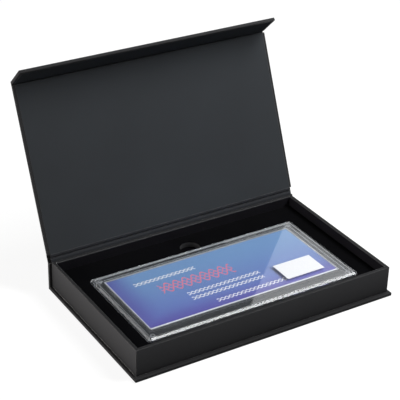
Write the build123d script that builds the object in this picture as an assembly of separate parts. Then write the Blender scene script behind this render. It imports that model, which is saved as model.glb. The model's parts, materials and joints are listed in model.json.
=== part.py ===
from build123d import *
import math
import os

# Banknote slab display box: a book-style rigid case of greyboard covered with black paper,
# holding a tray with a velour-faced foam insert, in which a clear two-part slab lies.
# Millimetres. +Z up, +X along the long side, the front flap side faces -Y.
# The origin is the centre of the flat underside.
# The slab is sized round its note, the insert round the slab, and the case round the insert.

# Boards and papers
board = 2.0            # greyboard of base, spine, lid, flap and tray
wrap = 0.2             # covering paper
lining = 0.15          # inner lining paper
edge_round = 0.35      # rounding where paper goes round a board's edge
turn_in = 15.0         # how far the covering paper is turned in over a board
lining_inset = 2.0     # bare border between a panel's edge and its lining

# Note and slab
note_width = 156.0
note_depth = 66.3
note_thick = 1.2
note_fit = 1.0         # pocket round the note
pocket_sink = 2.0      # pocket below the parting face
pocket_corner = 1.2
slab_side = 7.6        # slab beyond the pocket at left and right
slab_front = 12.05     # and at the front
slab_rear = 6.25       # and at the rear
slab_thick = 6.0
slab_corner = 2.0
slope_width = 1.6      # sloping rim of the cover, which catches the light
slope_height = 0.95
parting = 3.2          # lower shell's height
shell_seam = 0.05      # air between the two shells
bead_width = 2.4       # stacking bead round the slab's top
bead_height = 0.5
foot_width = 3.0       # rebate under the slab that takes the bead of a slab below
foot_height = 0.6
step_corner = 1.5      # corners of the window and of the foot
peg_radius = 1.4
peg_fit = 0.05
peg_roof = 0.65        # cover left over a peg's socket
peg_inset = 5.2
boss_fit = 0.5         # cover's boss inside the pocket
boss_height = 0.7
label_width = 32.0
label_depth = 20.0
label_thick = 0.12
label_side = 9.4       # label to the pocket's right and front edges
label_front = 5.75

# Insert
velour = 0.5
recess_fit = 0.6       # round the slab
slab_proud = 1.6       # slab's top above the insert
side_border = 14.1     # insert beside the recess
front_border = 9.7     # insert before the recess
notch_radius = 7.8
notch_reach = 5.2      # notch centre behind the slab's rear edge
notch_wall = 8.9       # insert behind the notch
insert_fit = 0.25
flock = 0.3            # flocked paper inside the tray's walls
flock_drop = 0.8       # its upper edge below the rim
insert_drop = 7.7      # insert's top below the rim

# Tray
rim_height = 23.3      # top of the tray's rim above the underside
stay = 0.1             # gummed paper at the tray's corners
stay_leg = 12.0
flange = 12.0          # tray paper turned under the floor

# Cover
side_lip = 2.0         # cover beyond the tray at left and right
flap_gap = 0.2         # closed flap to the tray's front wall
flush = 0.25           # closed flap behind the base's front edge
glue = 0.1             # between tray and spine
lid_gap = 0.2          # closed lid over the rim
spine_drop = 0.6       # crease at the spine's top below the tray's rim
spine_tongue = 12.0    # lining turned down over the spine's top
crease_gap = 0.3       # each rigid paper end to the crease it folds at
flap_clear = 2.45      # closed flap's free edge above the base
fold_gap = 0.4         # folded flap to the lid board's edge

# Photographed opening
lean_back = 22.7       # lid beyond upright
flap_fold = 69.1       # flap folded in from the lid's plane

# Magnets in the flap and steel discs in the front wall
disc_radius = 5.0
disc_thick = 1.5
disc_spread = 120.0    # distance between the two
disc_fit = 0.1
disc_drop = 12.0       # centres below the closed lid's top

# Slab from the note
pocket_width = note_width + 2 * note_fit
pocket_depth = note_depth + 2 * note_fit
slab_width = pocket_width + 2 * slab_side
slab_depth = pocket_depth + slab_front + slab_rear
pocket_offset = (slab_front - slab_rear) / 2
peg_height = slab_thick - parting - bead_height - peg_fit - peg_roof

# Tray from the slab
wall = wrap + stay + board + wrap
recess_width = slab_width + 2 * recess_fit
recess_depth = slab_depth + 2 * recess_fit
recess_corner = slab_corner + recess_fit
rear_border = notch_reach + notch_radius - recess_fit + notch_wall
flock_room = 2 * (flock + insert_fit)
inner_width = recess_width + 2 * side_border + flock_room
inner_depth = recess_depth + front_border + rear_border + flock_room
tray_width = inner_width + 2 * wall
tray_depth = inner_depth + 2 * wall

# Cover from the tray
base_thick = board + 2 * wrap
spine_thick = board + 2 * wrap
panel = board + 2 * wrap + lining
strip = wrap + lining
front_lip = flap_gap + panel + flush
cover_width = tray_width + 2 * side_lip
cover_depth = front_lip + tray_depth + glue + spine_thick
front_y = -cover_depth / 2
rear_y = cover_depth / 2
tray_front = front_y + front_lip
tray_rear = tray_front + tray_depth
tray_y = (tray_front + tray_rear) / 2
closed_top = rim_height + lid_gap + panel
crease_height = rim_height - spine_drop
groove_drop = closed_top - crease_height
groove = math.sqrt(2) * groove_drop    # the closed groove leans in at 45 degrees
spine_top = crease_height - crease_gap
lid_span = rear_y - groove_drop - (front_y + flush)
lid_board_end = lid_span - panel - fold_gap
flap_start = strip + 2 * crease_gap
flap_length = closed_top - base_thick - flap_clear

# Heights and places
floor_bottom = base_thick + wrap
floor_top = floor_bottom + board
insert_top = rim_height - insert_drop
slab_top = insert_top + slab_proud
slab_bottom = slab_top - slab_thick
parting_z = slab_bottom + parting
pocket_floor = parting_z - pocket_sink
window_top = slab_top - bead_height
slab_y = tray_y + (front_border - rear_border) / 2
pocket_y = slab_y + pocket_offset
notch_y = slab_y + slab_depth / 2 + notch_reach
disc_height = closed_top - disc_drop
front_board_y = tray_front + wrap + stay
bottom = (Align.CENTER, Align.CENTER, Align.MIN)


def block(x0, x1, y0, y1, z0, z1):
    """A box between two corners."""
    size = Box(x1 - x0, y1 - y0, z1 - z0)
    return Pos((x0 + x1) / 2, (y0 + y1) / 2, (z0 + z1) / 2) * size


def slab_block(width, depth, corner, y, z0, z1):
    """An upright block with rounded corners, centred on x = 0."""
    outline = Pos(0, y, z0) * RectangleRounded(width, depth, corner)
    return extrude(outline, z1 - z0)


def soften(shape, radius, wanted):
    """Round the straight edges of a shape that the test picks by their middle."""
    picked = [e for e in shape.edges() if e.geom_type == GeomType.LINE and wanted(e.center())]
    return fillet(picked, radius)


def near(a, b, within=0.01):
    return abs(a - b) < within


def outer_edge(point, half_width, outer_y, outer_z):
    """Is this the middle of an edge where two of the named outer faces meet?"""
    on_side = near(abs(point.X), half_width)
    on_front_or_rear = any(near(point.Y, y) for y in outer_y)
    on_top_or_bottom = any(near(point.Z, z) for z in outer_z)
    return on_side + on_front_or_rear + on_top_or_bottom >= 2


def discs(radius, thick, y, z):
    """Two round discs or pockets, left and right, sunk from a face at y towards +Y."""
    spots = (-disc_spread / 2, disc_spread / 2)
    return [Pos(x, y, z) * Rot(-90, 0, 0) * Cylinder(radius, thick, align=bottom) for x in spots]


# Base and spine
def base_board():
    half = cover_width / 2 - wrap
    return block(-half, half, front_y + wrap, tray_rear, wrap, wrap + board)


def base_wrap():
    """Paper under the base, round its front and side edges and turned in on top."""
    half = cover_width / 2
    shell = block(-half, half, front_y, rear_y, 0, base_thick)
    faces = (front_y, rear_y), (0, base_thick)
    shell = soften(shell, edge_round, lambda p: outer_edge(p, half, *faces))
    inside = block(-half + wrap, half - wrap, front_y + wrap, rear_y, wrap, base_thick - wrap)
    window = block(-half + turn_in, half - turn_in, front_y + turn_in, rear_y, wrap, base_thick)
    spine_room = block(-half, half, tray_rear, rear_y, wrap, base_thick)
    return shell - inside - window - spine_room


def spine_board():
    half = cover_width / 2 - wrap
    return block(-half, half, rear_y - wrap - board, rear_y - wrap, wrap, spine_top - wrap)


def spine_wrap():
    """Paper on the spine's back and ends, turned in against the tray and over the top's ends."""
    half = cover_width / 2
    front = rear_y - spine_thick
    shell = block(-half, half, front, rear_y, wrap, spine_top)
    shell = soften(shell, edge_round, lambda p: near(abs(p.X), half) and near(p.Y, rear_y))
    inside = block(-half + wrap, half - wrap, front + wrap, rear_y - wrap, wrap, spine_top - wrap)
    window = block(-half + turn_in, half - turn_in, front, rear_y - wrap, wrap, spine_top)
    return shell - inside - window


def spine_lining():
    """Lining that comes down from the groove over the spine's top, between the turned-in ends."""
    half = cover_width / 2 - turn_in
    board_front = rear_y - wrap - board
    board_top = spine_top - wrap
    over = block(-half, half, board_front - lining, rear_y - wrap, board_top, board_top + lining)
    down = block(-half, half, board_front - lining, board_front, spine_top - spine_tongue, board_top)
    return over + down


# Tray
def tray_floor():
    half = inner_width / 2 + wrap
    return block(-half, half, tray_front + wall - wrap, tray_rear - wall + wrap, floor_bottom, floor_top)


def wall_long(y_outer, inward):
    """The front or rear wall board, which runs the whole width."""
    half = tray_width / 2 - wrap - stay
    near_face = y_outer + inward * (wrap + stay)
    far_face = near_face + inward * board
    y0, y1 = sorted((near_face, far_face))
    return block(-half, half, y0, y1, floor_bottom, rim_height - wrap)


def front_wall():
    """The front wall board, with a shallow pocket for each steel disc."""
    shape = wall_long(tray_front, 1)
    for pocket in discs(disc_radius + disc_fit, disc_thick + disc_fit, front_board_y, disc_height):
        shape -= pocket
    return shape


def catch_discs():
    return discs(disc_radius, disc_thick, front_board_y, disc_height)


def wall_side(side):
    """A side wall board, fitted between the front and rear boards."""
    x_outer = tray_width / 2 - wrap - stay
    x0, x1 = sorted((side * x_outer, side * (x_outer - board)))
    gap = wrap + stay + board
    return block(x0, x1, tray_front + gap, tray_rear - gap, floor_bottom, rim_height - wrap)


def corner_stays():
    """Gummed paper round the outside of each upright corner of the tray."""
    outer = tray_width / 2 - wrap
    low, high = floor_bottom, rim_height - wrap
    out = []
    for sx in (-1, 1):
        for sy, y_outer in ((-1, tray_front + wrap), (1, tray_rear - wrap)):
            x0, x1 = sorted((sx * outer, sx * (outer - stay_leg)))
            y0, y1 = sorted((y_outer, y_outer - sy * stay_leg))
            corner = block(x0, x1, y0, y1, low, high)
            x2, x3 = sorted((sx * (outer - stay), sx * (outer - stay_leg)))
            y2, y3 = sorted((y_outer - sy * stay, y_outer - sy * stay_leg))
            out.append(corner - block(x2, x3, y2, y3, low, high))
    return out


def tray_wrap():
    """One paper skin: up the outside, over the rim, down inside and turned under the floor."""
    half = tray_width / 2
    inner = inner_width / 2
    y0, y1 = tray_front, tray_rear
    shell = block(-half, half, y0, y1, base_thick, rim_height)
    shell = soften(shell, edge_round, lambda p: outer_edge(p, half, (y0, y1), (rim_height,)))
    shell -= block(-inner, inner, y0 + wall, y1 - wall, base_thick, rim_height)

    def at_mouth(p):
        in_x = abs(p.X) < inner + edge_round
        in_y = abs(p.Y - tray_y) < inner_depth / 2 + edge_round
        return in_x and in_y and near(p.Z, rim_height)

    shell = soften(shell, edge_round, at_mouth)
    core = block(-half + wrap, half - wrap, y0 + wrap, y1 - wrap, floor_bottom, rim_height - wrap)
    core -= block(-inner - wrap, inner + wrap, y0 + wall - wrap, y1 - wall + wrap, floor_top, rim_height)
    shell -= core
    under = block(-half + wrap, half - wrap, y0 + wrap, y1 - wrap, base_thick, floor_bottom)
    under -= block(-half + flange, half - flange, y0 + flange, y1 - flange, base_thick, floor_bottom)
    return shell + under


def inside_tray(gap, z0, z1):
    """A block that stays a gap clear of the tray's inner faces."""
    half = inner_width / 2 - gap
    return block(-half, half, tray_front + wall + gap, tray_rear - wall - gap, z0, z1)


def wall_flock():
    """Flocked paper round the inside of the walls, from the floor to just below the rim."""
    top = rim_height - flock_drop
    return inside_tray(0, floor_top, top) - inside_tray(flock, floor_top, top)


# Insert
def insert_outline(z0, z1):
    return inside_tray(flock + insert_fit, z0, z1)


def recess(z0, z1):
    """The opening that takes the slab, with the finger notch at its rear."""
    cut = slab_block(recess_width, recess_depth, recess_corner, slab_y, z0, z1)
    cut += Pos(0, notch_y, z0) * Cylinder(notch_radius, z1 - z0, align=bottom)
    cut += block(-notch_radius, notch_radius, slab_y, notch_y, z0, z1)
    return cut


def foam_pad():
    return insert_outline(floor_top, slab_bottom - velour)


def pad_velour():
    return insert_outline(slab_bottom - velour, slab_bottom)


def foam_frame():
    return insert_outline(slab_bottom, insert_top - velour) - recess(slab_bottom, insert_top - velour)


def frame_velour():
    return insert_outline(insert_top - velour, insert_top) - recess(insert_top - velour, insert_top)


# Slab
def peg_places():
    x = slab_width / 2 - peg_inset
    y = slab_depth / 2 - peg_inset
    return [(sx * x, slab_y + sy * y) for sx in (-1, 1) for sy in (-1, 1)]


def slab_base():
    """Lower shell: a tray for the note, four pegs, and a rebate under its edge for stacking."""
    body = slab_block(slab_width, slab_depth, slab_corner, slab_y, slab_bottom, parting_z)
    inset = 2 * foot_width
    foot = slab_block(slab_width - inset, slab_depth - inset, step_corner, slab_y,
                      slab_bottom, slab_bottom + foot_height)
    body -= slab_block(slab_width, slab_depth, slab_corner, slab_y,
                       slab_bottom, slab_bottom + foot_height) - foot
    body -= slab_block(pocket_width, pocket_depth, pocket_corner, pocket_y, pocket_floor, parting_z)
    for x, y in peg_places():
        body += Pos(x, y, parting_z) * Cylinder(peg_radius, peg_height, align=bottom)
    return body


def slab_cover():
    """Upper shell: sloping rim, raised bead, a boss over the note and four blind sockets."""
    underside = parting_z + shell_seam
    body = slab_block(slab_width, slab_depth, slab_corner, slab_y, underside, slab_top)
    top = body.faces().sort_by(Axis.Z)[-1]
    body = chamfer(top.edges(), slope_width, slope_height, reference=top)
    inset = 2 * bead_width
    body -= slab_block(slab_width - inset, slab_depth - inset, step_corner, slab_y,
                       window_top, slab_top)
    body += slab_block(pocket_width - 2 * boss_fit, pocket_depth - 2 * boss_fit,
                       pocket_corner - boss_fit, pocket_y, parting_z - boss_height, underside)
    for x, y in peg_places():
        socket = Cylinder(peg_radius + peg_fit, peg_height + peg_fit, align=bottom)
        body -= Pos(x, y, parting_z) * socket
    return body


def note_card():
    return Pos(0, pocket_y, pocket_floor) * Box(note_width, note_depth, note_thick, align=bottom)


def blank_label():
    x = pocket_width / 2 - label_side - label_width / 2
    y = pocket_y - pocket_depth / 2 + label_front + label_depth / 2
    return Pos(x, y, window_top) * Box(label_width, label_depth, label_thick, align=bottom)


# Hinged panels, drawn upright: the outer face at y = 0, the lower crease at z = 0
def groove_wrap():
    half = cover_width / 2
    return block(-half, half, -wrap, 0, crease_gap, groove - crease_gap)


def groove_lining():
    half = cover_width / 2 - lining_inset
    return block(-half, half, -strip, -wrap, crease_gap, groove - crease_gap)


def lid_board():
    half = cover_width / 2 - wrap
    return block(-half, half, -wrap - board, -wrap, crease_gap + lining, lid_board_end)


def panel_wrap(length, start, high, closed_end):
    """Paper on a panel's outer face, round its ends and turned in over the board.

    The board runs from start to high. Nearer the crease, and past high on a panel
    that folds again there, the paper is a single thickness.
    """
    half = cover_width / 2
    inner = panel - lining
    shell = block(-half, half, -inner, 0, crease_gap, length)
    ends = (length,) if closed_end else ()
    shell = soften(shell, edge_round, lambda p: outer_edge(p, half, (0, -inner), ends))
    shell -= block(-half, half, -inner, -wrap, crease_gap, start)
    shell -= block(-half + wrap, half - wrap, -inner + wrap, -wrap, start, high)
    far = high - turn_in + wrap if closed_end else length
    shell -= block(-half + turn_in, half - turn_in, -inner, -wrap, start, far)
    if not closed_end:
        shell -= block(-half, half, -inner, -wrap, high, length)
    return shell


def lid_wrap():
    return panel_wrap(lid_span - crease_gap, crease_gap + lining, lid_board_end, False)


def lid_lining():
    """Lining that covers the lid's inner face and dips to the paper hinge at both ends."""
    half = cover_width / 2 - lining_inset
    rear = crease_gap
    front = lid_board_end + lining
    sheet = block(-half, half, -panel, -panel + lining, rear, front)
    rear_drop = block(-half, half, -panel, -wrap, rear, rear + lining)
    front_drop = block(-half, half, -panel, -wrap, front - lining, front)
    tongue = block(-half, half, -strip, -wrap, front - lining, lid_span - crease_gap)
    return sheet + rear_drop + front_drop + tongue


def flap_board():
    """The flap's board, with a shallow pocket for each magnet in its inner face."""
    half = cover_width / 2 - wrap
    shape = block(-half, half, -wrap - board, -wrap, flap_start, flap_length - wrap)
    for pocket in discs(disc_radius + disc_fit, disc_thick + disc_fit, -wrap - board, disc_drop):
        shape -= pocket
    return shape


def flap_magnets():
    return discs(disc_radius, disc_thick, -wrap - board, disc_drop)


def flap_wrap():
    return panel_wrap(flap_length, flap_start, flap_length - wrap, True)


def flap_lining():
    half = cover_width / 2 - lining_inset
    sheet = block(-half, half, -panel, -panel + lining, flap_start - lining, flap_length - lining_inset)
    drop = block(-half, half, -panel, -wrap, flap_start - lining, flap_start)
    return sheet + drop


# Places at rest
groove_place = Pos(0, rear_y, crease_height) * Rot(-lean_back, 0, 0)
lid_place = groove_place * Pos(0, 0, groove)
flap_place = lid_place * Pos(0, 0, lid_span) * Rot(flap_fold, 0, 0)


def placed(place, shapes):
    """Move one shape or a list of shapes to its place at rest."""
    if isinstance(shapes, list):
        return [place * s for s in shapes]
    return place * shapes


def write(name, shapes):
    """Write one node; a list of separate solids becomes one group."""
    if isinstance(shapes, list):
        solids = [solid for s in shapes for solid in s.solids()]
        shapes = Compound(children=solids)
    export_step(shapes, os.path.join("parts", name + ".step"))


os.makedirs("parts", exist_ok=True)

box_nodes = {
    "base_board": base_board(),
    "base_wrap": base_wrap(),
    "spine_board": spine_board(),
    "spine_wrap": spine_wrap(),
    "spine_lining": spine_lining(),
    "tray_floor": tray_floor(),
    "front_wall": front_wall(),
    "rear_wall": wall_long(tray_rear, -1),
    "left_wall": wall_side(-1),
    "right_wall": wall_side(1),
    "corner_stays": corner_stays(),
    "tray_wrap": tray_wrap(),
    "wall_flock": wall_flock(),
    "catch_discs": catch_discs(),
    "foam_pad": foam_pad(),
    "pad_velour": pad_velour(),
    "foam_frame": foam_frame(),
    "frame_velour": frame_velour(),
    "slab_base": slab_base(),
    "note_card": note_card(),
    "slab_cover": slab_cover(),
    "blank_label": blank_label(),
}
groove_nodes = {"groove_wrap": groove_wrap(), "groove_lining": groove_lining()}
lid_nodes = {"lid_board": lid_board(), "lid_wrap": lid_wrap(), "lid_lining": lid_lining()}
flap_nodes = {
    "flap_board": flap_board(),
    "flap_wrap": flap_wrap(),
    "flap_lining": flap_lining(),
    "flap_magnets": flap_magnets(),
}
here = Pos(0, 0, 0)
for place, nodes in ((here, box_nodes), (groove_place, groove_nodes),
                     (lid_place, lid_nodes), (flap_place, flap_nodes)):
    for name, shapes in nodes.items():
        write(name, placed(place, shapes))

for name, spot in (("lower crease", groove_place), ("upper crease", lid_place), ("flap crease", flap_place)):
    at = spot.position
    print(name, round(at.X, 3), round(at.Y, 3), round(at.Z, 3))
print("cover", round(cover_width, 2), round(cover_depth, 2), "closed height", round(closed_top, 2))
print("groove", round(groove, 3), "lid span", round(lid_span, 3), "flap ends at", round(closed_top - flap_length, 2))
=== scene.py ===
import json
import math

import bmesh
import bpy
from mathutils import Matrix, Vector


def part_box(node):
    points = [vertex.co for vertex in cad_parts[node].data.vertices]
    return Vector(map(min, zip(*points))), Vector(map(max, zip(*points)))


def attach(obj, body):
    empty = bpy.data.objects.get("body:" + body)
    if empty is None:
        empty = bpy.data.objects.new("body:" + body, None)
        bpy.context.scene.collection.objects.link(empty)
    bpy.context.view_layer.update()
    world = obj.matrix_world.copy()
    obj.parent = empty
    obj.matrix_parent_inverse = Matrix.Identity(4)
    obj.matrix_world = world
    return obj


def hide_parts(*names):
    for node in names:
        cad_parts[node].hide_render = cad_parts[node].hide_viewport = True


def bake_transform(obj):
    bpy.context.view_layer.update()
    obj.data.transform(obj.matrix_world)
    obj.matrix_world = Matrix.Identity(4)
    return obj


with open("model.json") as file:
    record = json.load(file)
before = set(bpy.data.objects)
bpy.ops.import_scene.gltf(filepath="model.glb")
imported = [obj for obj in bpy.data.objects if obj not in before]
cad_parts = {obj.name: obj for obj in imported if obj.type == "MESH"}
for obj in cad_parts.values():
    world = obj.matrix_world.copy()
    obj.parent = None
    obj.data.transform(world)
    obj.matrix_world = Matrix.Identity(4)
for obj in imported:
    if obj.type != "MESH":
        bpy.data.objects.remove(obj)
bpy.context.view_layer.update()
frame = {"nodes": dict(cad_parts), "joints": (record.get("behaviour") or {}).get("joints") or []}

# A book-style rigid box stands open. In it lies a clear slab on black velour.
# Metres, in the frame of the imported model: +X along the long side, front at -Y, +Z up.
MM = 0.001
nodes = frame["nodes"]
joints = {j["name"]: j for j in frame["joints"]}


# Camera at the photograph's angle
def make_camera():
    azimuth = math.radians(-32.09)
    elevation = math.radians(29.0)
    roll = math.radians(1.44)
    place = Vector((-0.442465, -0.674700, 0.523352))
    sensor_width = 36      # in millimetres, as the lens is
    lens = 118.65
    back = Vector((math.sin(azimuth) * math.cos(elevation),
                   -math.cos(azimuth) * math.cos(elevation),
                   math.sin(elevation)))
    level = Vector((math.cos(azimuth), math.sin(azimuth), 0))
    upright = back.cross(level)
    right = level * math.cos(roll) + upright * math.sin(roll)
    up = upright * math.cos(roll) - level * math.sin(roll)
    data = bpy.data.cameras.new("camera")
    data.sensor_width = sensor_width
    data.lens = lens
    camera = bpy.data.objects.new("camera", data)
    bpy.context.scene.collection.objects.link(camera)
    turn = Matrix((right, up, back)).transposed().to_4x4()
    camera.matrix_world = Matrix.Translation(place) @ turn
    bpy.context.scene.camera = camera


# Small helpers for nodes
def linear(hex_colour):
    """A colour written as it looks on screen, as linear light with alpha 1."""
    out = []
    for i in (1, 3, 5):
        v = int(hex_colour[i:i + 2], 16) / 255
        out.append(v / 12.92 if v <= 0.04045 else ((v + 0.055) / 1.055) ** 2.4)
    return (*out, 1)


class Tree:
    """A node tree with short ways to add nodes."""

    def __init__(self, node_tree):
        self.nodes = node_tree.nodes
        self.links = node_tree.links

    def add(self, kind, **values):
        node = self.nodes.new(kind)
        for key, value in values.items():
            setattr(node, key, value)
        return node

    def put(self, value, socket):
        """Set a socket to a value, or link it where the value is another socket."""
        if isinstance(value, bpy.types.NodeSocket):
            self.links.new(value, socket)
        else:
            socket.default_value = value

    def math(self, operation, a, b=0.0):
        node = self.add("ShaderNodeMath", operation=operation)
        self.put(a, node.inputs[0])
        self.put(b, node.inputs[1])
        return node.outputs[0]

    def background_ray(self):
        """1 for rays that show the background to the camera, straight or by mirror and glass, else 0."""
        path = self.add("ShaderNodeLightPath").outputs
        straight = self.math("MAXIMUM", path["Is Camera Ray"], path["Is Glossy Ray"])
        shown = self.math("MAXIMUM", straight, path["Is Transmission Ray"])
        not_lighting = self.math("LESS_THAN", path["Diffuse Depth"], 0.5)
        return self.math("MULTIPLY", shown, not_lighting)


class MaterialTree(Tree):
    """A new material's node tree, with what the surfaces here need."""

    def __init__(self, name):
        self.mat = bpy.data.materials.new(name)
        self.mat.use_nodes = True
        super().__init__(self.mat.node_tree)
        self.surface = self.nodes["Principled BSDF"]
        self.output = self.nodes["Material Output"]
        self.where = self.add("ShaderNodeTexCoord").outputs["Object"]

    def ramp(self, value, low, high, out_low=0.0, out_high=1.0, smooth=True):
        node = self.add("ShaderNodeMapRange")
        node.interpolation_type = "SMOOTHSTEP" if smooth else "LINEAR"
        self.put(value, node.inputs["Value"])
        for key, number in (("From Min", low), ("From Max", high), ("To Min", out_low), ("To Max", out_high)):
            self.put(number, node.inputs[key])
        return node.outputs["Result"]

    def noise(self, size, detail=2.0, rough=0.5, stretch=(1, 1, 1)):
        """Noise whose blots are about size metres across."""
        node = self.add("ShaderNodeTexNoise")
        node.inputs["Scale"].default_value = 1 / size
        node.inputs["Detail"].default_value = detail
        node.inputs["Roughness"].default_value = rough
        place = self.add("ShaderNodeMapping")
        place.inputs["Scale"].default_value = stretch
        self.links.new(self.where, place.inputs["Vector"])
        self.links.new(place.outputs["Vector"], node.inputs["Vector"])
        return node.outputs["Fac"]

    def split(self, vector):
        """The three parts of a vector socket, as outputs X, Y and Z."""
        node = self.add("ShaderNodeSeparateXYZ")
        self.links.new(vector, node.inputs[0])
        return node.outputs

    def upward(self, kind):
        """How far the surface faces up, by its Normal or its True Normal."""
        return self.split(self.add("ShaderNodeNewGeometry").outputs[kind])["Z"]

    def between(self, value, start, end):
        """1 where start < value < end, else 0."""
        return self.math("MULTIPLY", self.math("GREATER_THAN", value, start),
                         self.math("LESS_THAN", value, end))

    def any_of(self, marks):
        whole = marks[0]
        for mark in marks[1:]:
            whole = self.math("MAXIMUM", whole, mark)
        return whole

    def mix(self, amount, a, b):
        node = self.add("ShaderNodeMix", data_type="RGBA")
        self.put(amount, node.inputs["Factor"])
        self.put(a, node.inputs[6])
        self.put(b, node.inputs[7])
        return node.outputs[2]

    def bump(self, height, distance, strength, rounded=None):
        node = self.add("ShaderNodeBump")
        node.inputs["Strength"].default_value = strength
        node.inputs["Distance"].default_value = distance
        self.put(height, node.inputs["Height"])
        if rounded:
            self.links.new(rounded, node.inputs["Normal"])
        self.links.new(node.outputs["Normal"], self.surface.inputs["Normal"])

    def edge(self, radius):
        """1 on an edge and 0 on the flat, from how far a rounded normal leans; and that normal."""
        flat, leaning = 0.99, 0.85
        soft = self.add("ShaderNodeBevel", samples=8)
        soft.inputs["Radius"].default_value = radius
        face = self.add("ShaderNodeNewGeometry")
        lean = self.add("ShaderNodeVectorMath", operation="DOT_PRODUCT")
        self.links.new(soft.outputs["Normal"], lean.inputs[0])
        self.links.new(face.outputs["True Normal"], lean.inputs[1])
        return self.ramp(lean.outputs["Value"], flat, leaning), soft.outputs["Normal"]


# Materials
paper_edge = 0.45 * MM              # width on each side of an edge painted paler, partly wear and partly painted highlight
# edges of the plastic painted whiter over this width, as painted highlight
plastic_highlight_edge = 0.5 * MM
fold_light_fade = 0.6 * MM                # over which the fold's painted light begins and ends
edge_wear_light_fade = (96 * MM, 104 * MM)     # between these the tray's paler edges, partly wear and partly painted highlight, fade towards its right end


def painted_fold_light(t, body, worn_and_highlight, low, high):
    """The colour with painted light: a fold between two heights painted paler against its shade."""
    height = t.split(t.where)["Z"]
    fade = t.math("MULTIPLY", t.ramp(height, low, low + fold_light_fade), t.ramp(height, high, high - fold_light_fade))
    return t.mix(t.math("MULTIPLY", fade, 0.5), body, worn_and_highlight)


def painted_height_shade(t, body, low, high):
    """The colour with painted shade: darker towards the lower of two heights, and darker on up-facing faces
    such as the rim top.
    """
    black = (0, 0, 0, 1)
    sides = t.ramp(t.split(t.where)["Z"], low, high, 0.5, 1.0, smooth=False)
    rim = t.ramp(t.upward("True Normal"), 0.7, 0.9, 1.0, 0.4)
    return t.mix(t.math("MULTIPLY", sides, rim), black, body)


def paper(name, dark, light, worn_and_highlight, roughness, gloss=0.03, painted_shade_heights=None, painted_fold_heights=None):
    """Dyed covering or lining paper: cloudy colour, fine fibre, paler edges that are partly wear and partly
    painted highlight.

    Heights for the sides give painted shade on the tray's sides between them, darker towards the lower; the
    rim top gets painted shade too, and the paler edges fade towards the right end.
    Heights for a fold bound a band painted paler, as painted light against the fold's shade.
    """
    t = MaterialTree(name)
    cloud = t.noise(0.045, detail=3)
    fine = t.noise(0.0007, detail=3, rough=0.7)
    fibres = t.noise(0.0016, detail=2, stretch=(0.35, 1, 1))
    body = t.mix(t.math("ADD", t.math("MULTIPLY", cloud, 0.6), t.math("MULTIPLY", fine, 0.4)), dark, light)
    edge, rounded = t.edge(paper_edge)
    wear_and_highlight = t.math("MULTIPLY", edge, t.ramp(t.noise(0.006, detail=4), 0.3, 0.7, 0.45, 1.0))
    if painted_fold_heights:
        body = painted_fold_light(t, body, worn_and_highlight, *painted_fold_heights)
    if painted_shade_heights:
        wear_and_highlight = t.math("MULTIPLY", wear_and_highlight, t.ramp(t.split(t.where)["X"], *edge_wear_light_fade, 1.0, 0.3))
        body = painted_height_shade(t, body, *painted_shade_heights)
    t.put(t.mix(wear_and_highlight, body, worn_and_highlight), t.surface.inputs["Base Color"])
    t.put(t.ramp(fine, 0.3, 0.7, roughness - 0.06, roughness + 0.06), t.surface.inputs["Roughness"])
    t.surface.inputs["Specular IOR Level"].default_value = gloss
    t.bump(t.math("ADD", fine, fibres), 0.03 * MM, 0.5, rounded)
    return t.mat


def velour(name, dark, light):
    """Flocked face: nearly black, with a faint sheen and a short uneven nap."""
    t = MaterialTree(name)
    nap = t.noise(0.0005, detail=4, rough=0.8)
    brushed = t.noise(0.02, detail=3)
    t.put(t.mix(t.math("MULTIPLY", nap, brushed), dark, light), t.surface.inputs["Base Color"])
    t.put(t.ramp(nap, 0.3, 0.7, 0.85, 1.0), t.surface.inputs["Roughness"])
    t.surface.inputs["Specular IOR Level"].default_value = 0
    t.surface.inputs["Sheen Weight"].default_value = 0.015
    t.surface.inputs["Sheen Roughness"].default_value = 0.5
    t.bump(nap, 0.15 * MM, 0.8)
    return t.mat


def foam():
    """Fine closed cells on a cut face."""
    t = MaterialTree("black_foam")
    cell = 0.0006
    cells = t.add("ShaderNodeTexVoronoi")
    cells.inputs["Scale"].default_value = 1 / cell
    t.links.new(t.where, cells.inputs["Vector"])
    distance = cells.outputs["Distance"]
    t.put(t.mix(distance, linear("#0d0d0e"), linear("#1a1a1c")), t.surface.inputs["Base Color"])
    t.surface.inputs["Roughness"].default_value = 0.8
    t.bump(distance, 0.15 * MM, 0.6)
    return t.mat


def greyboard():
    """Recycled board at a cut edge: layered grey fibre."""
    t = MaterialTree("greyboard")
    layers = t.noise(0.0009, detail=4, stretch=(0.15, 0.15, 2.5))
    specks = t.noise(0.0004, detail=2)
    shade = t.mix(layers, linear("#9f988b"), linear("#bab2a2"))
    t.put(t.mix(t.ramp(specks, 0.62, 0.72), shade, linear("#6d665b")), t.surface.inputs["Base Color"])
    t.surface.inputs["Roughness"].default_value = 0.9
    t.bump(layers, 0.05 * MM, 0.6)
    return t.mat


def metal(name, colour, roughness):
    """Flat discs with fine scratches."""
    t = MaterialTree(name)
    scratch = t.noise(0.0008, detail=4, stretch=(1, 0.1, 1))
    t.put(t.mix(scratch, colour, linear("#f7f7f5")), t.surface.inputs["Base Color"])
    t.surface.inputs["Metallic"].default_value = 1
    t.put(t.ramp(scratch, 0.3, 0.7, roughness, roughness + 0.15), t.surface.inputs["Roughness"])
    t.bump(scratch, 0.01 * MM, 0.3)
    return t.mat


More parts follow.
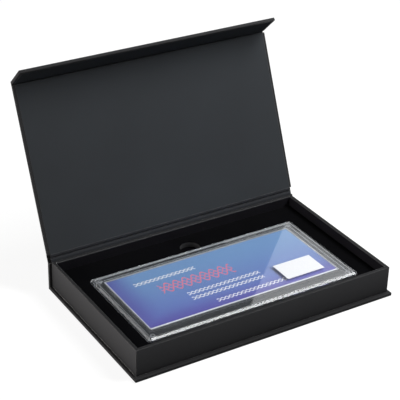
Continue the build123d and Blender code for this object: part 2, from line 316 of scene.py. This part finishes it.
def clear(name, tint, scuffed):
    """Clear plastic, a little scuffed, with edges painted whiter as painted highlight; lamps reach what lies
    in it.
    """
    t = MaterialTree(name)
    highlight_edge_clearness = 0.2
    smear = t.noise(0.02, detail=4, rough=0.6)
    edge, _ = t.edge(plastic_highlight_edge)
    t.surface.inputs["Base Color"].default_value = tint
    t.put(t.ramp(smear, 0.3, 0.75, 0.0, 0.02), t.surface.inputs["Roughness"])
    t.surface.inputs["IOR"].default_value = 1.49
    # painted highlight: less light passes at the edges, so they show whiter
    t.put(t.ramp(edge, 0.0, 1.0, 1 - scuffed, highlight_edge_clearness), t.surface.inputs["Transmission Weight"])
    path = t.add("ShaderNodeLightPath").outputs
    bounced = t.math("GREATER_THAN", path["Diffuse Depth"], 0.5)
    through = t.add("ShaderNodeBsdfTransparent")
    through.inputs["Color"].default_value = (0.93, 0.94, 0.95, 1)
    choose = t.add("ShaderNodeMixShader")
    t.links.new(t.math("MAXIMUM", path["Is Shadow Ray"], bounced), choose.inputs[0])
    t.links.new(t.surface.outputs[0], choose.inputs[1])
    t.links.new(through.outputs[0], choose.inputs[2])
    t.links.new(choose.outputs[0], t.output.inputs["Surface"])
    return t.mat


def label():
    """Bare coated sticker."""
    t = MaterialTree("bare_label")
    coat = t.noise(0.0015, detail=3)
    t.put(t.mix(coat, linear("#eceef1"), linear("#f7f8fa")), t.surface.inputs["Base Color"])
    t.put(t.ramp(coat, 0.3, 0.7, 0.4, 0.5), t.surface.inputs["Roughness"])
    t.bump(coat, 0.01 * MM, 0.3)
    return t.mat


def card():
    """Blue print, violet to its lower and left edges, with coral and white braids; two bare white edges."""
    t = MaterialTree("printed_card")
    bare_left = 0.4 * MM
    bare_front = 1.3 * MM
    stroke_soft = 0.06 * MM
    low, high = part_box("note_card")
    place = t.split(t.where)
    across = t.ramp(place["X"], low.x, high.x, smooth=False)
    along = t.ramp(place["Y"], low.y, high.y, smooth=False)
    x = t.math("SUBTRACT", place["X"], (low.x + high.x) / 2)
    y = t.math("SUBTRACT", place["Y"], (low.y + high.y) / 2)

    def stroke(offset, width):
        return t.ramp(t.math("ABSOLUTE", offset), width / 2 + stroke_soft, width / 2 - stroke_soft)

    def braid(level, start, end, length, height, width):
        """Two waves that cross, between two places across the card. All sizes are in millimetres."""
        turn = t.math("MULTIPLY", x, math.tau / (length * MM))
        wave = t.math("MULTIPLY", t.math("SINE", turn), height * MM)
        offset = t.math("SUBTRACT", y, level * MM)
        strands = [stroke(t.math(way, offset, wave), width * MM) for way in ("SUBTRACT", "ADD")]
        return t.math("MULTIPLY", t.any_of(strands), t.between(x, start * MM, end * MM))

    blue = t.mix(t.ramp(along, 0.1, 0.95), linear("#647abf"), linear("#739ccc"))
    violet = t.math("MAXIMUM", t.ramp(along, 0.3, 0.0), t.ramp(across, 0.14, 0.0, 0.0, 0.8))
    ground = t.mix(violet, blue, linear("#5751a8"))
    coral = t.any_of([braid(6.5, -48, 12, 15, 5.6, 1.3),
                      braid(6.5, -48, 12, 7.5, 2.2, 1.0)])
    white_rows = ((20, -62, -12), (-8, -34, 26), (-14.5, -34, 26), (-25, -20, 66))
    white = t.any_of([braid(*row, 7, 1.5, 0.95) for row in white_rows])
    inside = t.math("MULTIPLY", t.math("GREATER_THAN", place["X"], low.x + bare_left),
                    t.math("GREATER_THAN", place["Y"], low.y + bare_front))
    inked = t.mix(white, t.mix(coral, ground, linear("#f78191")), linear("#ffffff"))
    printed = t.math("MULTIPLY", t.math("GREATER_THAN", t.upward("Normal"), 0.5), inside)
    t.put(t.mix(printed, linear("#f2f2f4"), inked), t.surface.inputs["Base Color"])
    grain = t.noise(0.0006, detail=3)
    t.put(t.ramp(grain, 0.3, 0.7, 0.4, 0.5), t.surface.inputs["Roughness"])
    t.bump(grain, 0.01 * MM, 0.3)
    return t.mat


def paint(material, *names):
    for name in names:
        slots = nodes[name].data.materials
        slots.clear()
        slots.append(material)


case_paper = paper("case_paper", linear("#2d2d2e"), linear("#363637"), linear("#7a7977"), 0.55)
# The tray's paper: lighter than the case paper to make up for its painted shade, with near-white paler edges,
# partly wear and partly painted highlight.
tray_paper = paper("tray_paper", linear("#404042"), linear("#4b4b4c"), linear("#f7f7f5"), 0.55,
                   painted_shade_heights=(2 * MM, 23 * MM))
lining_paper = paper("lining_paper", linear("#37393b"), linear("#3f4245"), linear("#68686a"), 0.6, gloss=0)
# Lining at the folds: a darker copy of the lining paper as painted shade, with a paler band over the fold as
# painted light.
fold_paper = paper("folded_lining", linear("#2e2f31"), linear("#35373b"), linear("#68686a"), 0.6, gloss=0,
                   painted_fold_heights=(25 * MM, 27.3 * MM))
velour_black = velour("black_velour", linear("#060607"), linear("#0e0e11"))
foam_black = foam()

paint(tray_paper, "tray_wrap")
paint(case_paper, "base_wrap", "spine_wrap", "lid_wrap", "flap_wrap", "groove_wrap")
paint(lining_paper, "lid_lining", "flap_lining", "groove_lining", "spine_lining")
paint(greyboard(), "base_board", "spine_board", "lid_board", "flap_board", "tray_floor",
      "front_wall", "rear_wall", "left_wall", "right_wall")
paint(paper("gummed_paper", linear("#9f7a51"), linear("#b88f5f"), linear("#caa578"), 0.6), "corner_stays")
paint(velour_black, "pad_velour", "frame_velour")
paint(velour("flocked_paper", linear("#19181c"), linear("#2a292d")), "wall_flock")
paint(foam_black, "foam_pad", "foam_frame")
paint(metal("steel_disc", linear("#c0c0be"), 0.3), "catch_discs")
paint(metal("nickel_magnet", linear("#cecac0"), 0.2), "flap_magnets")
paint(clear("clear_cover", (0.97, 0.985, 1, 1), 0.01), "slab_cover")
paint(clear("clear_base", (0.95, 0.975, 1, 1), 0.02), "slab_base")
paint(card(), "note_card")
paint(label(), "blank_label")


# Meshes
sharp_angle = math.radians(38)


def mesh_piece(name, bm, material, body, replaced):
    """Make an object from a bmesh, with sharp edges kept, and tie it to the model."""
    bmesh.ops.recalc_face_normals(bm, faces=bm.faces)
    mesh = bpy.data.meshes.new(name)
    bm.to_mesh(mesh)
    bm.free()
    mesh.shade_smooth()
    mesh.set_sharp_from_angle(angle=sharp_angle)
    mesh.materials.append(material)
    piece = bpy.data.objects.new(name, mesh)
    bpy.context.scene.collection.objects.link(piece)
    if body:
        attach(piece, body)
    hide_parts(*replaced)
    return piece


def add_loop(bm, points, z):
    return [bm.verts.new((x, y, z)) for x, y in points]


def bridge(bm, lower, upper):
    """Quads between two closed loops with the same number of vertices."""
    count = len(lower)
    for i in range(count):
        j = (i + 1) % count
        bm.faces.new((lower[i], lower[j], upper[j], upper[i]))


def bridge_all(bm, loops):
    for lower, upper in zip(loops, loops[1:]):
        bridge(bm, lower, upper)


def fill_between(bm, outer, inner):
    """A flat face with a hole in it."""
    edges = []
    for loop in (outer, inner):
        for i, v in enumerate(loop):
            following = loop[(i + 1) % len(loop)]
            edges.append(bm.edges.get((v, following)) or bm.edges.new((v, following)))
    bmesh.ops.triangle_fill(bm, edges=edges, use_beauty=True)


def arc(cx, cy, radius, start, end, steps):
    """Points on an arc, angles in degrees."""
    out = []
    for i in range(steps + 1):
        a = math.radians(start + (end - start) * i / steps)
        out.append((cx + radius * math.cos(a), cy + radius * math.sin(a)))
    return out


# Velour-faced foam insert
slab_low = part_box("slab_base")[0]
slab_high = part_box("slab_cover")[1]
insert_low, insert_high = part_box("frame_velour")
recess_fit = 0.6 * MM
slab_corner = 2.0 * MM
insert_corner = 1.5 * MM
notch_radius = 7.8 * MM
notch_reach = 5.2 * MM
lip_corner = 1.2 * MM      # rounding in plan where the notch meets the recess
velour_roll = 0.5 * MM     # velour turned over the frame's cut edge
pad_roll = 0.2 * MM
foam_roll = 0.02 * MM      # cut foam is barely rounded
nap_drop = 0.12 * MM       # the slab's weight presses the nap this far


def recess_outline(grow):
    """The slab's recess with the finger notch, anticlockwise, grown into the insert."""
    corner_steps, lip_steps, notch_steps = 8, 5, 24
    x1 = slab_high.x + recess_fit + grow
    y0 = slab_low.y - recess_fit - grow
    y1 = slab_high.y + recess_fit + grow
    r = slab_corner + recess_fit + grow
    half = notch_radius + grow
    bend = lip_corner - grow
    notch_y = slab_high.y + notch_reach
    return (arc(x1 - r, y0 + r, r, -90, 0, corner_steps)
            + arc(x1 - r, y1 - r, r, 0, 90, corner_steps)
            + arc(half + bend, y1 + bend, bend, 270, 180, lip_steps)
            + arc(0, notch_y, half, 0, 180, notch_steps)
            + arc(-half - bend, y1 + bend, bend, 0, -90, lip_steps)
            + arc(-x1 + r, y1 - r, r, 90, 180, corner_steps)
            + arc(-x1 + r, y0 + r, r, 180, 270, corner_steps))


def insert_outline(inset):
    """The insert's outer edge, with barely rounded corners."""
    steps = 4
    r = insert_corner
    x, y0, y1 = insert_high.x - inset, insert_low.y + inset, insert_high.y - inset
    return (arc(x - r, y0 + r, r, -90, 0, steps)
            + arc(x - r, y1 - r, r, 0, 90, steps)
            + arc(-x + r, y1 - r, r, 90, 180, steps)
            + arc(-x + r, y0 + r, r, 180, 270, steps))


def rolled(top, radius):
    """Inset and height of each loop from a vertical side round to the top face."""
    steps = 5
    out = []
    for i in range(steps + 1):
        a = math.radians(90 * i / steps)
        out.append((radius * (1 - math.cos(a)), top - radius * (1 - math.sin(a))))
    return out


def side_loops(bm, outline, bottom, top, radius):
    """The joined loops of one side, from the bottom up and over the rolled edge."""
    same_height = 1e-6
    loops = [add_loop(bm, outline(0), bottom)]
    for inset, z in rolled(top, radius):
        if z - bottom > same_height or inset > 0:
            loops.append(add_loop(bm, outline(inset), z))
    bridge_all(bm, loops)
    return loops


def ring(bottom, top, radius):
    """The frame round the slab between two heights, its upper edges rolled over."""
    bm = bmesh.new()
    outer = side_loops(bm, insert_outline, bottom, top, radius)
    inner = side_loops(bm, recess_outline, bottom, top, radius)
    fill_between(bm, outer[0], inner[0])
    fill_between(bm, outer[-1], inner[-1])
    return bm


def pad(bottom, top, radius):
    """The closed sheet of foam or velour under the slab."""
    bm = bmesh.new()
    loops = side_loops(bm, insert_outline, bottom, top, radius)
    bm.faces.new(loops[0])
    bm.faces.new(loops[-1])
    return bm


def make_insert():
    velour_depth = insert_high.z - insert_low.z
    frame_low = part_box("foam_frame")[0].z
    pad_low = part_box("foam_pad")[0].z
    pad_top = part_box("pad_velour")[1].z - nap_drop
    pad_split = pad_top - velour_depth + nap_drop
    soft = [
        mesh_piece("insert_velour", ring(insert_low.z, insert_high.z, velour_roll), velour_black,
                   "box", ["frame_velour"]),
        mesh_piece("insert_foam", ring(frame_low, insert_low.z, foam_roll), foam_black,
                   "box", ["foam_frame"]),
        mesh_piece("pad_face", pad(pad_split, pad_top, pad_roll), velour_black,
                   "box", ["pad_velour"]),
        mesh_piece("pad_foam", pad(pad_low, pad_split, foam_roll), foam_black,
                   "box", ["foam_pad"]),
    ]


# Paper across the creases
paper_thick = 0.2 * MM
lining_thick = 0.15 * MM
crease_gap = 0.3 * MM
crease_bend = 0.9 * crease_gap      # a crease turns over this much on each side
lining_inset = 2.0 * MM
panel_level = 2.55 * MM    # a lined panel's inner face from its outer face
spine_level = 2.36 * MM    # the lining's face where it goes down behind the tray
fold_level = 1.2 * MM      # and where it folds in as the lid closes
fold_start = 1.2 * MM      # above the lower crease, the lining starts to fold in
fold_place = 2.2 * MM      # and is deepest, over the tray's rear rim when the groove leans on it
lip = 1.0 * MM             # lining below the lid that stays level with it
half_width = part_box("base_wrap")[1].x
lower_crease, upper_crease, flap_crease = (
    Vector(joints[n]["pos_m"]) for n in ("lower_crease", "upper_crease", "flap_crease"))
groove_way = (upper_crease - lower_crease).normalized()
lid_way = (flap_crease - upper_crease).normalized()
fold = math.radians(joints["flap_crease"]["range_deg"][1])
flap_way = Matrix.Rotation(fold, 3, "X") @ lid_way
spine_way = Vector((0, 0, 1))


def smooth_step(t):
    return t * t * (3 - 2 * t)


def heading(angle):
    """The direction at an angle from straight up towards the rear."""
    return Vector((0, math.sin(angle), math.cos(angle)))


def inward(way):
    """The direction across a sheet that runs this way, towards the inside of the box."""
    return Vector((0, -way.z, way.y))


def bent_line(corner, way_a, way_b, before, after, depth):
    """Points of a sheet's face that turns smoothly at a crease.

    Its depth inside the outer face is a number, or a function of the distance past the crease.
    """
    steps = 12
    straight = 10
    angle_a, angle_b = (math.atan2(w.y, w.z) for w in (way_a, way_b))

    def turned(part):
        return angle_a + (angle_b - angle_a) * smooth_step(part)

    spots = [Vector((0, 0, 0))]
    for i in range(steps):
        spots.append(spots[-1] + heading(turned((i + 0.5) / steps)) * (2 * crease_bend / steps))
    reach = spots[-1].length / (way_a + way_b).length
    start = corner - way_a * reach
    line = []
    for i in range(straight):
        line.append((corner - way_a * (before + (reach - before) * i / straight), way_a))
    for i, spot in enumerate(spots):
        line.append((start + spot, heading(turned(i / steps))))
    for i in range(1, straight + 1):
        line.append((corner + way_b * (reach + (after - reach) * i / straight), way_b))
    out = []
    for p, w in line:
        past = (p - corner).dot((way_a + way_b).normalized())
        out.append(p + inward(w) * (depth(past) if callable(depth) else depth))
    return out


def crease_strip(name, crease, before, after, depths, sheet, replaced):
    """A strip of paper or lining that turns at one crease and lies across both panels.

    Before and after are its lengths on either side of the crease. Bend gives the two places between
    """
    columns = 24
    corner, way_a, way_b, bodies = crease
    half, material, slot = sheet
    outer, inner = (bent_line(corner, way_a, way_b, before, after, d) for d in depths)
    section = outer + inner[::-1]
    bm = bmesh.new()
    rings = []
    for i in range(columns + 1):
        x = -half + 2 * half * i / columns
        rings.append([bm.verts.new((x, p.y, p.z)) for p in section])
    bridge_all(bm, rings)
    bm.faces.new(rings[0])
    bm.faces.new(rings[-1])
    piece = mesh_piece(name, bm, material, None, replaced)
    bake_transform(piece)


def lifted(lift_low, lift_high, start, end):
    """The lining's two faces, lifted smoothly from one level to another past a crease."""
    def level(past):
        part = min(max((past - start) / (end - start), 0), 1)
        return lift_low + (lift_high - lift_low) * smooth_step(part)
    return lambda past: level(past) - lining_thick, level


def make_creases():
    """Paper follows the groove. The lid's lining runs on down to the spine, level with the lid's face just
    below it and folding in over the tray's rear rim.
    """
    groove = (upper_crease - lower_crease).length
    lower = lower_crease, spine_way, groove_way, ("box", "groove")
    upper = upper_crease, groove_way, lid_way, ("groove", "lid")
    flap = flap_crease, lid_way, flap_way, ("lid", "flap")
    wrap = half_width, case_paper, "case_paper"
    lining = half_width - lining_inset, fold_paper, "lining_paper"
    wrap_faces = 0, paper_thick
    hinge_faces = paper_thick, paper_thick + lining_thick
    crease_strip("groove_lower_paper", lower, crease_gap, groove / 2, wrap_faces, wrap, ["groove_wrap"])
    crease_strip("groove_upper_paper", upper, groove / 2, crease_gap, wrap_faces, wrap, ["groove_wrap"])
    crease_strip("flap_hinge_paper", flap, crease_gap, crease_gap, wrap_faces, wrap, [])
    crease_strip("flap_hinge_lining", flap, crease_gap, crease_gap, hinge_faces, lining, [])
    crease_strip("groove_lower_lining", lower, crease_gap, fold_place,
                 lifted(spine_level, fold_level, fold_start, fold_place), lining, ["groove_lining"])
    crease_strip("groove_upper_lining", upper, groove - fold_place, crease_gap,
                 lifted(fold_level, panel_level, fold_place - groove, -lip), lining, ["groove_lining"])


make_insert()
make_creases()


# Stage: pale floor, white surroundings, soft lamps
def make_floor():
    half_size = 4
    drop = 0.2 * MM
    albedo = 0.2
    patchy = 0.01
    glow_strength = 0.88
    bm = bmesh.new()
    bmesh.ops.create_grid(bm, x_segments=8, y_segments=8, size=half_size)
    mesh = bpy.data.meshes.new("floor")
    bm.to_mesh(mesh)
    bm.free()
    floor = bpy.data.objects.new("floor", mesh)
    floor.location.z = -drop
    bpy.context.scene.collection.objects.link(floor)
    t = MaterialTree("pale_floor")
    low, high = ((v, v, v, 1) for v in (albedo - patchy, albedo + patchy))
    t.put(t.mix(t.noise(0.4, detail=2), low, high), t.surface.inputs["Base Color"])
    t.surface.inputs["Roughness"].default_value = 0.9
    t.surface.inputs["Specular IOR Level"].default_value = 0
    glow = t.add("ShaderNodeEmission")
    t.put(t.math("MULTIPLY", t.background_ray(), glow_strength), glow.inputs["Strength"])
    both = t.add("ShaderNodeAddShader")
    t.links.new(t.surface.outputs[0], both.inputs[0])
    t.links.new(glow.outputs[0], both.inputs[1])
    t.links.new(both.outputs[0], t.output.inputs["Surface"])
    floor.data.materials.append(t.mat)


def make_world():
    ambient_strength = 0.05
    white_strength = 1.0
    world = bpy.data.worlds.new("studio")
    bpy.context.scene.world = world
    world.use_nodes = True
    t = Tree(world.node_tree)
    t.nodes.clear()
    ambient = t.add("ShaderNodeBackground")
    ambient.inputs["Strength"].default_value = ambient_strength
    white = t.add("ShaderNodeBackground")
    white.inputs["Strength"].default_value = white_strength
    choose = t.add("ShaderNodeMixShader")
    t.links.new(t.background_ray(), choose.inputs[0])
    t.links.new(ambient.outputs[0], choose.inputs[1])
    t.links.new(white.outputs[0], choose.inputs[2])
    out = t.add("ShaderNodeOutputWorld")
    t.links.new(choose.outputs[0], out.inputs["Surface"])


def lamp(name, place, aim, side, watts, colour):
    """A square soft lamp with sides in metres."""
    data = bpy.data.lights.new(name, "AREA")
    data.shape = "SQUARE"
    data.size = side
    data.energy = watts
    data.color = colour
    light = bpy.data.objects.new(name, data)
    light.location = place
    light.rotation_mode = "QUATERNION"
    light.rotation_quaternion = (Vector(aim) - Vector(place)).to_track_quat("-Z", "Y")
    bpy.context.scene.collection.objects.link(light)


make_camera()
make_floor()
make_world()
lamp("left_softbox", (-0.95, 0.0, 0.2), (0, 0, 0.01), 0.385, 5.75, (1, 0.955, 0.925))
lamp("top_softbox", (0.42, -0.06, 0.72), (0, 0, 0), 0.33, 4.4, (0.97, 0.985, 1))
lamp("front_softbox", (0.75, -0.5, 0.85), (0, 0, 0.05), 0.3, 7.4, (0.98, 0.985, 1))
lamp("back_softbox", (-0.45, 0.88, 0.76), (0, 0, 0.05), 0.64, 2.2, (1, 1, 1))
bpy.context.scene.view_settings.view_transform = "Standard"
